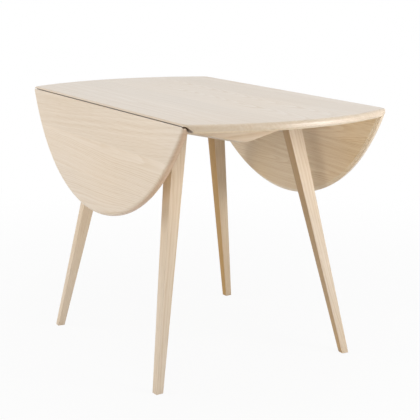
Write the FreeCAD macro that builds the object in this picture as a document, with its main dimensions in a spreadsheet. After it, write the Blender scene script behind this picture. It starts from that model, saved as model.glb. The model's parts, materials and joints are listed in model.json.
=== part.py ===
import FreeCAD, Part
import math
import os
import Sketcher

# Oval drop-leaf table with two hinged leaves and a swinging wing under each.
# +X runs along the hinge lines, +Y to the back leaf, +Z up; the origin is on
# the floor below the middle of the top.  The leaves are modelled hanging.

V = FreeCAD.Vector
ALONG_X = V(1, 0, 0)
UPWARD = V(0, 0, 1)

# name, value in mm or degrees, what it is
SIZES = (
    ("height", 750, "floor to the table surface"),
    ("top_thickness", 22, "centre top and leaves"),
    ("oval_half_length", 565, "centre of the oval to its end, along X"),
    ("oval_half_width", 622, "centre of the oval to its side with both leaves up"),
    ("edge_round", 11, "radius along the upper edge of the oval"),
    ("bevel_inset", 9, "bevel under the edge, measured inwards"),
    ("bevel_rise", 6, "bevel under the edge, measured upwards"),
    ("pivot_y", 313.5, "hinge line from the middle of the top"),
    ("pivot_depth", 5, "hinge line below the surface"),
    ("bead_radius", 4.2, "quarter-round bead along each side of the centre top"),
    ("hollow_gap", 0.5, "space between the bead and the hollow of the leaf"),
    ("joint_gap", 1.8, "space between leaf and top, down their bevels and with the leaf up"),
    ("leaf_drop", 86, "angle that a leaf swings through"),
    ("leg_top_x", 206, "middle of the leg under the top, along X"),
    ("leg_top_y", 180, "middle of the leg under the top, along Y"),
    ("leg_foot_x", 331, "middle of the foot, along X"),
    ("leg_foot_y", 314.5, "middle of the foot, along Y"),
    ("leg_top_wide", 43, "leg section under the top, along X"),
    ("leg_top_deep", 46, "leg section under the top, along Y"),
    ("leg_foot_side", 22, "side of the square foot"),
    ("leg_twist", 4.7, "turn of each leg about its own upright line"),
    ("end_rail_thickness", 34, "board of the end rails"),
    ("end_rail_housing", 4, "legs let into the back of the end rail"),
    ("end_rail_middle", 81.5, "depth of the end rail at its middle"),
    ("end_rail_end", 46.5, "depth of the end rail at the inner sides of the legs"),
    ("end_rail_apex_radius", 90, "round at the lowest point of the end rail"),
    ("side_rail_thickness", 20, "board of the side rails"),
    ("side_rail_height", 72, "height of the side rails"),
    ("side_rail_setback", 9, "side rail behind the outer face of the legs"),
    ("tenon_thickness", 8, "tenons of the side rails"),
    ("tenon_shoulder", 12, "rail left above and below each tenon"),
    ("side_tenon_end", 3, "side rail tenon short of the middle of the leg"),
    ("block_thickness", 24, "corner block across its face"),
    ("block_height", 36, "corner block, downwards from the top"),
    ("block_clearance", 8, "corner block to the corner of the leg, along both axes"),
    ("bolt_radius", 4, "hanger bolt of each leg"),
    ("bolt_drop", 18, "hanger bolt below the underside of the top"),
    ("bolt_start", 14, "end of the hanger bolt from the middle of the leg"),
    ("bolt_spare", 3, "hanger bolt standing out of its nut"),
    ("washer_radius", 9, "leg washers"),
    ("washer_thickness", 1.6, "leg washers"),
    ("nut_radius", 7.5, "leg nuts, across the corners"),
    ("nut_thickness", 6.5, "leg nuts"),
    ("top_screw_radius", 2, "screws that hold the top to the corner blocks"),
    ("top_screw_head", 4, "their head radius"),
    ("top_screw_head_height", 2.5, "their head height"),
    ("top_screw_sink", 10, "depth of their counterbore"),
    ("top_screw_bite", 15, "their length inside the top"),
    ("top_screw_offset", 19, "from the middle of the block, along both axes"),
    ("counterbore_gap", 0.6, "around the head of a top screw"),
    ("wing_reach", 190, "wing from its pin to its tip"),
    ("wing_thickness", 18, "wing board"),
    ("wing_height", 60, "wing at its pin"),
    ("wing_tip_height", 25, "wing at its tip"),
    ("wing_straight", 60, "level part of the lower edge of the wing"),
    ("wing_round", 50, "radius where the lower edge turns"),
    ("wing_rake", 28, "lean of the wing pin, so that the wing rises as it opens"),
    ("wing_pivot_x", 45, "top of the wing pin, along X"),
    ("wing_gap", 0.5, "between the wing and its bracket"),
    ("wing_headroom", 0.3, "between a wing that is swung out and what lies on it"),
    ("wing_notch", 14, "wing cut back around its upper lug"),
    ("wing_allowance", 1, "wood above the highest point of the wing before it is trimmed"),
    ("pin_radius", 4, "wing pin"),
    ("pin_gap", 0.05, "radial clearance of the pins in what turns on them"),
    ("pin_spare", 2, "wing pin standing out of each lug"),
    ("bracket_thickness", 3, "lugs of the wing bracket"),
    ("bracket_back", 2.5, "back plate of the wing bracket"),
    ("bracket_half_width", 12, "back plate, from its middle"),
    ("bracket_drop", 8, "upper lug below the top of the wing"),
    ("lug_half_width", 10, "lug, from its middle"),
    ("lug_reach", 8, "lug beyond the pin"),
    ("bracket_screw_radius", 1.75, "screws of the wing bracket"),
    ("bracket_screw_head", 3.5, "their head radius"),
    ("bracket_screw_length", 14, "their length"),
    ("bracket_screw_inset", 14, "from each lug to the nearer screw"),
    ("hinge_pitch", 330, "distance between hinges"),
    ("hinge_length", 50, "hinge along its pin"),
    ("hinge_flap", 18, "flap from the pin to its edge"),
    ("hinge_plate", 1.5, "thickness of the flaps"),
    ("knuckle_radius", 2.6, "hinge knuckles"),
    ("knuckle_gap", 0.3, "between knuckles, and around them"),
    ("knuckle_middle", 17.4, "length of the knuckle that belongs to the leaf"),
    ("hinge_pin_radius", 1.2, "hinge pins"),
    ("hinge_screw_radius", 1.5, "hinge screws"),
    ("hinge_screw_head", 2.8, "their head radius"),
    ("hinge_screw_length", 12, "their length"),
    ("hinge_screw_down", 12, "from the pin to the row of screws"),
    ("hinge_screw_half_pitch", 16, "screws from the middle of the flap"),
)

doc = FreeCAD.newDocument("drop_leaf_table")
sizes = doc.addObject("Spreadsheet::Sheet", "sizes")
for row, (alias, value, note) in enumerate(SIZES, start=1):
    sizes.set(f"A{row}", alias)
    sizes.set(f"B{row}", str(value))
    sizes.set(f"C{row}", note)
    sizes.setAlias(f"B{row}", alias)
doc.recompute()

nodes = []


def size(expression):
    """The number that an expression on the sheet comes to."""
    return float(sizes.evalExpression(expression))


def s(alias):
    """The sheet's cell of that name, as it is written in an expression."""
    return f"sizes.{alias}"


def bind(piece, links):
    for name, expression in links.items():
        piece.setExpression(name, expression)


def place(piece, base, axis=None, degrees=None):
    """Puts a piece at base, turned by degrees about axis."""
    if axis is not None:
        piece.Placement.Rotation = FreeCAD.Rotation(axis, 1)
        piece.setExpression("Placement.Rotation.Angle", degrees)
    for letter, expression in zip("xyz", base):
        piece.setExpression(f"Placement.Base.{letter}", expression)
    return piece


def cuboid(name, lows, lengths):
    piece = doc.addObject("Part::Box", name)
    bind(piece, dict(zip(("Length", "Width", "Height"), lengths)))
    return place(piece, lows)


def rod(name, radius, length, start, along):
    piece = doc.addObject("Part::Cylinder", name)
    bind(piece, {"Radius": radius, "Height": length})
    piece.Placement.Rotation = FreeCAD.Rotation(UPWARD, along)
    return place(piece, start)


def taper(name, start_radius, end_radius, length, start, way):
    piece = doc.addObject("Part::Cone", name)
    bind(piece, {"Radius1": start_radius, "Radius2": end_radius, "Height": length})
    piece.Placement.Rotation = FreeCAD.Rotation(UPWARD, way)
    return place(piece, start)


def fuse(name, pieces):
    piece = doc.addObject("Part::MultiFuse", name)
    piece.Shapes = pieces
    return piece


def cut(name, base, tools):
    piece = doc.addObject("Part::Cut", name)
    piece.Base = base
    piece.Tool = tools[0] if len(tools) == 1 else fuse(f"{name}_tools", tools)
    return piece


def overlap(name, first, second):
    piece = doc.addObject("Part::Common", name)
    piece.Base = first
    piece.Tool = second
    return piece


def gather(name, pieces):
    """Several separate solids that make one node."""
    piece = doc.addObject("Part::Compound", name)
    piece.Links = pieces
    return piece


def keep(piece, label):
    piece.Label = label
    nodes.append(piece)
    return piece


def sketch_on(body, name, role):
    sketch = body.newObject("Sketcher::SketchObject", name)
    plane = [part for part in body.Origin.OriginFeatures if part.Role == role][0]
    sketch.AttachmentSupport = [(plane, "")]
    sketch.MapMode = "FlatFace"
    return sketch


def draw_polygon(sketch, corners):
    """A closed outline whose every corner is tied to the origin by the sheet."""
    spots = [V(size(across), size(up), 0) for across, up in corners]
    count = len(corners)
    for index in range(count):
        line = Part.LineSegment(spots[index], spots[(index + 1) % count])
        sketch.addGeometry(line, False)
    for index in range(count):
        after = (index + 1) % count
        sketch.addConstraint(Sketcher.Constraint("Coincident", index, 2, after, 1))
    for index, (across, up) in enumerate(corners):
        for kind, number, expression in (
            ("DistanceX", spots[index].x, across),
            ("DistanceY", spots[index].y, up),
        ):
            tie = Sketcher.Constraint(kind, -1, 1, index, 1, number)
            sketch.setExpression(f"Constraints[{sketch.addConstraint(tie)}]", expression)


def board(name, role, corners, thickness):
    """A body cut to an outline, with its thickness halved by the outline's plane."""
    body = doc.addObject("PartDesign::Body", name)
    sketch = sketch_on(body, f"{name}_outline", role)
    draw_polygon(sketch, corners)
    pad = body.newObject("PartDesign::Pad", f"{name}_pad")
    pad.Profile = sketch
    pad.SideType = "Symmetric"
    pad.setExpression("Length", thickness)
    doc.recompute()
    return body


def dress_edges(body, kind, name, links, wanted):
    """A fillet or chamfer on the edges of a body's last feature that the test picks."""
    base = body.Tip
    picked = [
        f"Edge{number}"
        for number, edge in enumerate(base.Shape.Edges, start=1)
        if wanted(edge.BoundBox)
    ]
    dressing = body.newObject(f"PartDesign::{kind}", name)
    dressing.Base = (base, picked)
    if kind == "Chamfer":
        dressing.ChamferType = "Two distances"
    bind(dressing, links)
    doc.recompute()


# ---------------------------------------------------------------- shared places

UNDER = f"({s('height')} - {s('top_thickness')})"
PIVOT_Z = f"({s('height')} - {s('pivot_depth')})"
HALF_DROP = f"{s('leaf_drop')} / 2"
HALF_GAP = f"({s('joint_gap')} / 2)"
SPLAY_X = f"(({s('leg_foot_x')} - {s('leg_top_x')}) / {UNDER})"
SPLAY_Y = f"(({s('leg_foot_y')} - {s('leg_top_y')}) / {UNDER})"
SIDES = (("front", -1), ("back", 1))
ENDS = (("left", -1), ("right", 1))
HINGES = (-1, 0, 1)
PAST_ENDS = f"2.2 * {s('oval_half_length')}"
NEAR = 0.001


def pivot(side):
    """The hinge line of one side, as the base of a placement."""
    return ("0", f"{side} * {s('pivot_y')}", PIVOT_Z)


# ------------------------------------------------------------------- oval slab

# The draughtsman's oval: the arcs' centres lie on the axes where the line square
# to the chord between two ends of the axes cuts them.

CHORD = f"sqrt({s('oval_half_length')} ^ 2 + {s('oval_half_width')} ^ 2)"
WIDER = f"({s('oval_half_width')} - {s('oval_half_length')})"
END_RADIUS = f"({CHORD} * ({CHORD} + {WIDER}) / (2 * {s('oval_half_length')}))"
SIDE_RADIUS = f"({CHORD} * ({CHORD} - {WIDER}) / (2 * {s('oval_half_width')}))"


def draw_oval(sketch):
    """Four arcs that meet tangentially: two across the ends, two along the leaves."""
    end_radius = size(END_RADIUS)
    side_radius = size(SIDE_RADIUS)
    end_centre = end_radius - size(s("oval_half_length"))
    side_centre = size(s("oval_half_width")) - side_radius
    meet = math.atan(size(f"{s('oval_half_length')} / {s('oval_half_width')}"))
    arcs = (
        (V(-end_centre, 0, 0), end_radius, -meet),
        (V(0, side_centre, 0), side_radius, meet),
        (V(end_centre, 0, 0), end_radius, math.pi - meet),
        (V(0, -side_centre, 0), side_radius, math.pi + meet),
    )
    count = len(arcs)
    for index, (centre, radius, start) in enumerate(arcs):
        stop = arcs[(index + 1) % count][2]
        if stop < start:
            stop += 2 * math.pi
        circle = Part.Circle(centre, UPWARD, radius)
        sketch.addGeometry(Part.ArcOfCircle(circle, start, stop), False)
    for index in range(count):
        after = (index + 1) % count
        sketch.addConstraint(Sketcher.Constraint("Tangent", index, 2, after, 1))
    centre_x = f"({END_RADIUS} - {s('oval_half_length')})"
    centre_y = f"({s('oval_half_width')} - {SIDE_RADIUS})"
    ties = (
        ("DistanceY", 0, 0, "0"),
        ("DistanceX", 0, -end_centre, f"-{centre_x}"),
        ("DistanceX", 1, 0, "0"),
        ("DistanceY", 1, side_centre, centre_y),
        ("DistanceY", 2, 0, "0"),
        ("DistanceX", 2, end_centre, centre_x),
    )
    for kind, arc, number, expression in ties:
        tie = sketch.addConstraint(Sketcher.Constraint(kind, -1, 1, arc, 3, number))
        sketch.setExpression(f"Constraints[{tie}]", expression)
    tie = sketch.addConstraint(Sketcher.Constraint("Radius", 1, side_radius))
    sketch.setExpression(f"Constraints[{tie}]", SIDE_RADIUS)
    sketch.addConstraint(Sketcher.Constraint("Equal", 1, 3))


def oval_slab():
    """The whole oval, leaves up, with its round upper edge and bevelled lower one."""
    body = doc.addObject("PartDesign::Body", "oval_slab")
    sketch = sketch_on(body, "oval_outline", "XY_Plane")
    draw_oval(sketch)
    pad = body.newObject("PartDesign::Pad", "oval_pad")
    pad.Profile = sketch
    pad.setExpression("Length", s("top_thickness"))
    doc.recompute()
    middle = size(s("top_thickness")) / 2
    rounding = {"Radius": s("edge_round")}
    dress_edges(body, "Fillet", "oval_round", rounding, lambda box: box.ZMin > middle)
    bevel = {"Size": s("bevel_rise"), "Size2": s("bevel_inset")}
    dress_edges(body, "Chamfer", "oval_bevel", bevel, lambda box: box.ZMax < NEAR)
    return place(body, ("0", "0", UNDER))


# ----------------------------------------------------------------------- joint

def bevel_corner(side, way):
    """Far end of the bevel that falls from the hinge line, inwards or outwards."""
    reach = f"(1.5 * {s('top_thickness')})"
    across = f"({HALF_GAP} * cos({HALF_DROP}) + {reach} * sin({HALF_DROP}))"
    down = f"({reach} * cos({HALF_DROP}) - {HALF_GAP} * sin({HALF_DROP}))"
    return (
        f"{side} * ({s('pivot_y')} + {way} * {across})",
        f"{PIVOT_Z} - {down}",
    )


def bevel_height(across):
    """Height of a bevel so far from the hinge line."""
    return f"({PIVOT_Z} + {HALF_GAP} / sin({HALF_DROP}) - {across} / tan({HALF_DROP}))"


def centre_section():
    """Section of the centre top without its beads: upright steps, then bevels."""
    above = f"{s('height')} + {s('top_thickness')}"
    edge = s("pivot_y")
    start = bevel_height("0")
    return (
        (edge, above),
        (edge, start),
        bevel_corner(1, -1),
        bevel_corner(-1, -1),
        (f"-{edge}", start),
        (f"-{edge}", above),
    )


def leaf_section(side):
    """Section of a raised leaf before its hollow is taken out."""
    above = f"{s('height')} + {s('top_thickness')}"
    edge = f"{side} * ({s('pivot_y')} + {s('joint_gap')})"
    beyond = f"{side} * ({s('oval_half_width')} + {s('top_thickness')})"
    start = bevel_height(s("joint_gap"))
    low = bevel_corner(side, 1)
    return ((edge, above), (edge, start), low, (beyond, low[1]), (beyond, above))


def line_rod(name, radius, side):
    """A rod on the hinge line, longer than the table."""
    start = (f"-{s('oval_half_length')}", pivot(side)[1], PIVOT_Z)
    return rod(name, radius, f"2 * {s('oval_half_length')}", start, ALONG_X)


# ---------------------------------------------------------------------- hinges
# A hinge is drawn with its pin on the X axis and its closed flaps hanging
# straight down, then turned by half of the leaf's drop onto the bevels.

def hinge_place(piece, side):
    return place(piece, pivot(side), V(-side, 0, 0), HALF_DROP)


def flap_low(side, way, thickness):
    """Lower Y of a plate on the top's side (way -1) or the leaf's side (way 1)."""
    return f"({side * way} * ({HALF_GAP} + {thickness} / 2) - {thickness} / 2)"


def hinge_x(step):
    return f"({step} * {s('hinge_pitch')})"


def knuckle_spans(step):
    """The start and length of the two outer knuckles and of the middle one."""
    outer = f"(({s('hinge_length')} - {s('knuckle_middle')}) / 2 - {s('knuckle_gap')})"
    left = f"{hinge_x(step)} - {s('hinge_length')} / 2"
    right = f"{hinge_x(step)} + {s('hinge_length')} / 2 - {outer}"
    middle = f"{hinge_x(step)} - {s('knuckle_middle')} / 2"
    return (left, outer), (right, outer), (middle, s("knuckle_middle"))


def hinge_flap(name, side, way, step):
    """One flap with its knuckles; way -1 is screwed to the top, way 1 to the leaf."""
    plate = cuboid(
        f"{name}_plate",
        (
            f"{hinge_x(step)} - {s('hinge_length')} / 2",
            flap_low(side, way, s("hinge_plate")),
            f"-{s('hinge_flap')}",
        ),
        (s("hinge_length"), s("hinge_plate"), s("hinge_flap")),
    )
    left, right, middle = knuckle_spans(step)
    own, other = ((left, right), (middle,)) if way < 0 else ((middle,), (left, right))
    knuckles = [
        rod(f"{name}_knuckle_{n}", s("knuckle_radius"), length, (start, "0", "0"), ALONG_X)
        for n, (start, length) in enumerate(own)
    ]
    gap = s("knuckle_gap")
    rooms = [
        rod(
            f"{name}_room_{n}",
            f"{s('knuckle_radius')} + {gap}",
            f"{length} + 2 * {gap}",
            (f"{start} - {gap}", "0", "0"),
            ALONG_X,
        )
        for n, (start, length) in enumerate(other)
    ]
    bore_radius = s("hinge_pin_radius")
    if way > 0:
        bore_radius = f"{bore_radius} + {s('pin_gap')}"
    bore = rod(
        f"{name}_bore",
        bore_radius,
        f"2 * {s('hinge_length')}",
        (f"{hinge_x(step)} - {s('hinge_length')}", "0", "0"),
        ALONG_X,
    )
    roomy_plate = cut(f"{name}_roomy_plate", plate, rooms)
    whole = fuse(f"{name}_whole", [roomy_plate] + knuckles)
    sinks = [screw(f"{name}_sink_{n}", side, way, step, n) for n in (-1, 1)]
    return cut(name, whole, [bore] + sinks)


def screw(name, side, way, step, place_along):
    """A countersunk screw, head flush with the flap and shank into the wood."""
    turn = side * way
    start = (
        f"{hinge_x(step)} + {place_along} * {s('hinge_screw_half_pitch')}",
        f"{turn} * {HALF_GAP}",
        f"-{s('hinge_screw_down')}",
    )
    toward = V(0, turn, 0)
    head = taper(
        f"{name}_head",
        s("hinge_screw_head"),
        s("hinge_screw_radius"),
        s("hinge_plate"),
        start,
        toward,
    )
    shank = rod(
        f"{name}_shank", s("hinge_screw_radius"), s("hinge_screw_length"), start, toward
    )
    return fuse(name, [head, shank])


def hinge_set(side_name, side):
    """Nodes of the three hinges of one side, in the order top, leaf, pins, screws."""
    flaps = {}
    screws = {}
    for way, owner in ((-1, "top"), (1, "leaf")):
        flaps[way] = gather(
            f"hinge_{owner}_flaps_{side_name}",
            [
                hinge_flap(f"{owner}_flap_{side_name}_{step + 1}", side, way, step)
                for step in HINGES
            ],
        )
        screws[way] = gather(
            f"hinge_{owner}_screws_{side_name}",
            [
                screw(f"{owner}_screw_{side_name}_{step + 1}_{n + 1}", side, way, step, n)
                for step in HINGES
                for n in (-1, 1)
            ],
        )
    pins = gather(
        f"hinge_pins_{side_name}",
        [
            rod(
                f"hinge_pin_{side_name}_{step + 1}",
                s("hinge_pin_radius"),
                s("hinge_length"),
                (f"{hinge_x(step)} - {s('hinge_length')} / 2", "0", "0"),
                ALONG_X,
            )
            for step in HINGES
        ],
    )
    for piece in (*flaps.values(), *screws.values(), pins):
        hinge_place(piece, side)
        keep(piece, piece.Name)
    return flaps, screws


def hinge_notches(side_name, side):
    """Room in the bead of the top for the knuckles and for the moving flap."""
    notches = []
    gap = s("knuckle_gap")
    clear = f"({HALF_GAP} + {s('hinge_plate')} + {gap})"
    reach = f"({s('bead_radius')} + {s('top_thickness')} / 2)"
    outline = (
        (f"{side} * {clear} * cos({HALF_DROP})", f"{clear} * sin({HALF_DROP})"),
        (
            f"{side} * ({clear} * cos({HALF_DROP}) + {reach} * sin({HALF_DROP}))",
            f"{clear} * sin({HALF_DROP}) - {reach} * cos({HALF_DROP})",
        ),
        ("0", f"-1.5 * {reach}"),
        (
            f"-{side} * ({HALF_GAP} * cos({HALF_DROP}) + {reach} * sin({HALF_DROP}))",
            f"{HALF_GAP} * sin({HALF_DROP}) - {reach} * cos({HALF_DROP})",
        ),
        (f"-{side} * {HALF_GAP} * cos({HALF_DROP})", f"{HALF_GAP} * sin({HALF_DROP})"),
    )
    long = f"{s('hinge_length')} + 2 * {gap}"
    for step in HINGES:
        name = f"notch_{side_name}_{step + 1}"
        sweep = board(f"{name}_sweep", "YZ_Plane", outline, long)
        place(sweep, (hinge_x(step), pivot(side)[1], PIVOT_Z))
        room = rod(
            f"{name}_room",
            f"{s('knuckle_radius')} + {gap}",
            long,
            (f"{hinge_x(step)} - {s('hinge_length')} / 2 - {gap}", pivot(side)[1], PIVOT_Z),
            ALONG_X,
        )
        notches += [sweep, room]
    return notches


# ------------------------------------------------------------------------ legs

def leg_blank(name, end, side):
    """A square leg that tapers straight from the top to the foot.

    It is drawn as a wedge from its foot, in axes that turn with its twist."""
    wedge = doc.addObject("Part::Wedge", f"{name}_wedge")
    hand = end * side
    twist = s("leg_twist")
    shift_x = f"({s('leg_top_x')} - {s('leg_foot_x')})"
    shift_y = f"({s('leg_top_y')} - {s('leg_foot_y')})"
    lean_x = f"({end} * {shift_x} * cos({twist}) - {side * hand} * {shift_y} * sin({twist}))"
    lean_y = f"({end * hand} * {shift_x} * sin({twist}) + {side} * {shift_y} * cos({twist}))"
    half_foot = f"{s('leg_foot_side')} / 2"
    half_wide = f"{s('leg_top_wide')} / 2"
    half_deep = f"{s('leg_top_deep')} / 2"
    bind(
        wedge,
        {
            "Xmin": f"-{half_foot}",
            "Xmax": half_foot,
            "Zmin": f"-{half_foot}",
            "Zmax": half_foot,
            "Ymin": "0",
            "Ymax": UNDER,
            "X2min": f"{lean_x} - {half_wide}",
            "X2max": f"{lean_x} + {half_wide}",
            "Z2min": f"-{lean_y} - {half_deep}",
            "Z2max": f"-{lean_y} + {half_deep}",
        },
    )
    wedge.Placement.Rotation = FreeCAD.Rotation(ALONG_X, 90)
    base = (f"{end} * {s('leg_foot_x')}", f"{side} * {s('leg_foot_y')}", "0")
    return place(gather(name, [wedge]), base, V(0, 0, -hand), twist)


# ----------------------------------------------------------------------- rails

def span_low(sign, low, length):
    """Lower coordinate of a span that starts at low on the positive side."""
    return f"({sign} * ({low} + {length} / 2) - {length} / 2)"


SIDE_RAIL_Y = (
    f"({s('leg_top_y')} + {s('leg_top_deep')} / 2 - {s('side_rail_setback')}"
    f" - {s('side_rail_thickness')})"
)
SIDE_RAIL_FACE = f"({SIDE_RAIL_Y} + {s('side_rail_thickness')})"
LEG_INNER_X = f"({s('leg_top_x')} - {s('leg_top_wide')} / 2)"
LEG_INNER_Y = f"({s('leg_top_y')} - {s('leg_top_deep')} / 2)"
TENON_ROOT = f"{s('tenon_thickness')} / 2"


def side_tenon(name, end, side):
    """Tenon of a side rail, from inside the rail to near the middle of the leg."""
    start = f"({LEG_INNER_X} - {TENON_ROOT})"
    length = f"({s('leg_top_x')} - {s('side_tenon_end')} - {start})"
    low_y = f"({SIDE_RAIL_Y} + ({s('side_rail_thickness')} - {s('tenon_thickness')}) / 2)"
    return cuboid(
        name,
        (
            span_low(end, start, length),
            span_low(side, low_y, s("tenon_thickness")),
            f"{UNDER} - {s('side_rail_height')} + {s('tenon_shoulder')}",
        ),
        (
            length,
            s("tenon_thickness"),
            f"{s('side_rail_height')} - 2 * {s('tenon_shoulder')}",
        ),
    )


END_RAIL_MIDDLE = (
    f"({s('leg_top_x')} + {s('leg_top_wide')} / 2 - {s('end_rail_housing')}"
    f" + {s('end_rail_thickness')} / 2)"
)


def end_rail(name, end, legs, below_top):
    """A board across the outer faces of two legs, leaning with them, deepest at its middle."""
    half = f"({s('leg_top_y')} + {s('leg_top_deep')} / 2)"
    slope = f"(({s('end_rail_middle')} - {s('end_rail_end')}) / {LEG_INNER_Y})"
    low_end = f"-({s('end_rail_middle')} - {slope} * {half})"
    above = s("end_rail_thickness")
    outline = (
        (half, above),
        (f"-{half}", above),
        (f"-{half}", low_end),
        ("0", f"-{s('end_rail_middle')}"),
        (half, low_end),
    )
    body = board(f"{name}_board", "YZ_Plane", outline, s("end_rail_thickness"))
    lowest = NEAR - size(s("end_rail_middle"))
    rounding = {"Radius": s("end_rail_apex_radius")}
    dress_edges(body, "Fillet", f"{name}_apex", rounding, lambda box: box.ZMax < lowest)
    base = (f"{end} * {END_RAIL_MIDDLE}", "0", UNDER)
    place(body, base, V(0, -end, 0), f"atan({SPLAY_X})")
    level = overlap(f"{name}_level", body, below_top)
    return cut(name, level, legs)


def side_rail(name, side, legs, tenons, screws):
    board_of_rail = cuboid(
        f"{name}_board",
        (
            f"-{s('leg_top_x')}",
            span_low(side, SIDE_RAIL_Y, s("side_rail_thickness")),
            f"{UNDER} - {s('side_rail_height')}",
        ),
        (f"2 * {s('leg_top_x')}", s("side_rail_thickness"), s("side_rail_height")),
    )
    shouldered = cut(f"{name}_shouldered", board_of_rail, legs)
    return cut(name, fuse(f"{name}_tenoned", [shouldered] + tenons), [screws])


# --------------------------------------------------------------- corner blocks

BLOCK_OUT = f"({LEG_INNER_X} + {LEG_INNER_Y} - {s('block_clearance')})"
BLOCK_IN = f"({BLOCK_OUT} - {s('block_thickness')} * sqrt(2))"
BOLT_X = f"({s('leg_top_x')} + {SPLAY_X} * {s('bolt_drop')})"
BOLT_Y = f"({s('leg_top_y')} + {SPLAY_Y} * {s('bolt_drop')})"
BOLT_Z = f"({UNDER} - {s('bolt_drop')})"
BOLT_SEAT = f"(({BOLT_X} + {BOLT_Y} - {BLOCK_IN}) / sqrt(2))"
BLOCK_LOW = f"({UNDER} - {s('block_height')})"


def corner_block(name, end, side, rails, tools):
    """A diagonal block between the rails, with its ends fitted to them."""
    far_x = END_RAIL_MIDDLE
    far_y = f"({SIDE_RAIL_Y} + {s('side_rail_thickness')} / 4)"
    corners = (
        (f"{BLOCK_IN} - {far_y}", far_y),
        (f"{BLOCK_OUT} - {far_y}", far_y),
        (far_x, f"{BLOCK_OUT} - {far_x}"),
        (far_x, f"{BLOCK_IN} - {far_x}"),
    )
    outline = [(f"{end} * ({x})", f"{side} * ({y})") for x, y in corners]
    body = board(f"{name}_bar", "XY_Plane", outline, s("block_height"))
    place(body, ("0", "0", f"{UNDER} - {s('block_height')} / 2"))
    return cut(name, body, rails + tools)


def on_bolt(end, side, along):
    """Point on a bolt's line, so far from the middle of the leg."""
    return (
        f"{end} * ({BOLT_X} - {along} / sqrt(2))",
        f"{side} * ({BOLT_Y} - {along} / sqrt(2))",
        BOLT_Z,
    )


def leg_fixing(tag, end, side):
    """Hanger bolt, washer and nut of one leg."""
    inward = V(-end, -side, 0)
    stack = f"({BOLT_SEAT} + {s('washer_thickness')} + {s('nut_thickness')})"
    bolt = rod(
        f"bolt_{tag}",
        s("bolt_radius"),
        f"{stack} + {s('bolt_spare')} - {s('bolt_start')}",
        on_bolt(end, side, s("bolt_start")),
        inward,
    )
    disc = rod(
        f"washer_disc_{tag}",
        s("washer_radius"),
        s("washer_thickness"),
        on_bolt(end, side, BOLT_SEAT),
        inward,
    )
    prism = doc.addObject("Part::Prism", f"nut_prism_{tag}")
    prism.Polygon = 6
    bind(prism, {"Circumradius": s("nut_radius"), "Height": s("nut_thickness")})
    prism.Placement.Rotation = FreeCAD.Rotation(UPWARD, inward)
    place(prism, on_bolt(end, side, f"({BOLT_SEAT} + {s('washer_thickness')})"))
    return bolt, cut(f"washer_{tag}", disc, [bolt]), cut(f"nut_{tag}", prism, [bolt])


def top_screw(name, end, side, step):
    """Pan-head screw up through a corner block, and the counterbore for its head."""
    middle = f"(({BLOCK_IN} + {BLOCK_OUT}) / 2)"
    skew = f"({BOLT_X} - {BOLT_Y})"
    x = f"{end} * (({middle} + {skew}) / 2 + {step} * {s('top_screw_offset')})"
    y = f"{side} * (({middle} - {skew}) / 2 - {step} * {s('top_screw_offset')})"
    seat = f"({BLOCK_LOW} + {s('top_screw_sink')})"
    head = rod(
        f"{name}_head",
        s("top_screw_head"),
        s("top_screw_head_height"),
        (x, y, f"{seat} - {s('top_screw_head_height')}"),
        UPWARD,
    )
    shank = rod(
        f"{name}_shank",
        s("top_screw_radius"),
        f"{UNDER} + {s('top_screw_bite')} - {seat}",
        (x, y, seat),
        UPWARD,
    )
    bore = rod(
        f"{name}_bore",
        f"{s('top_screw_head')} + {s('counterbore_gap')}",
        s("top_screw_sink"),
        (x, y, BLOCK_LOW),
        UPWARD,
    )
    return fuse(name, [head, shank]), bore


# ----------------------------------------------------------------------- wings
# Wing, pin and bracket are drawn with the pin on the Z axis, the wing pointing
# to -X and the middle of its upper edge at the origin, then leaned by the rake.

WING_AXIS_Y = (
    f"({SIDE_RAIL_FACE} + {s('wing_thickness')} / 2 + {s('wing_gap')} + {s('bracket_back')})"
)
LOWER_LUG = f"({s('wing_height')} + {s('wing_gap')} + {s('bracket_thickness')})"


def wing_place(piece, side):
    base = (s("wing_pivot_x"), f"{side} * {WING_AXIS_Y}", f"{UNDER} - {s('wing_headroom')}")
    return place(piece, base, V(0, -1, 0), s("wing_rake"))


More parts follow.
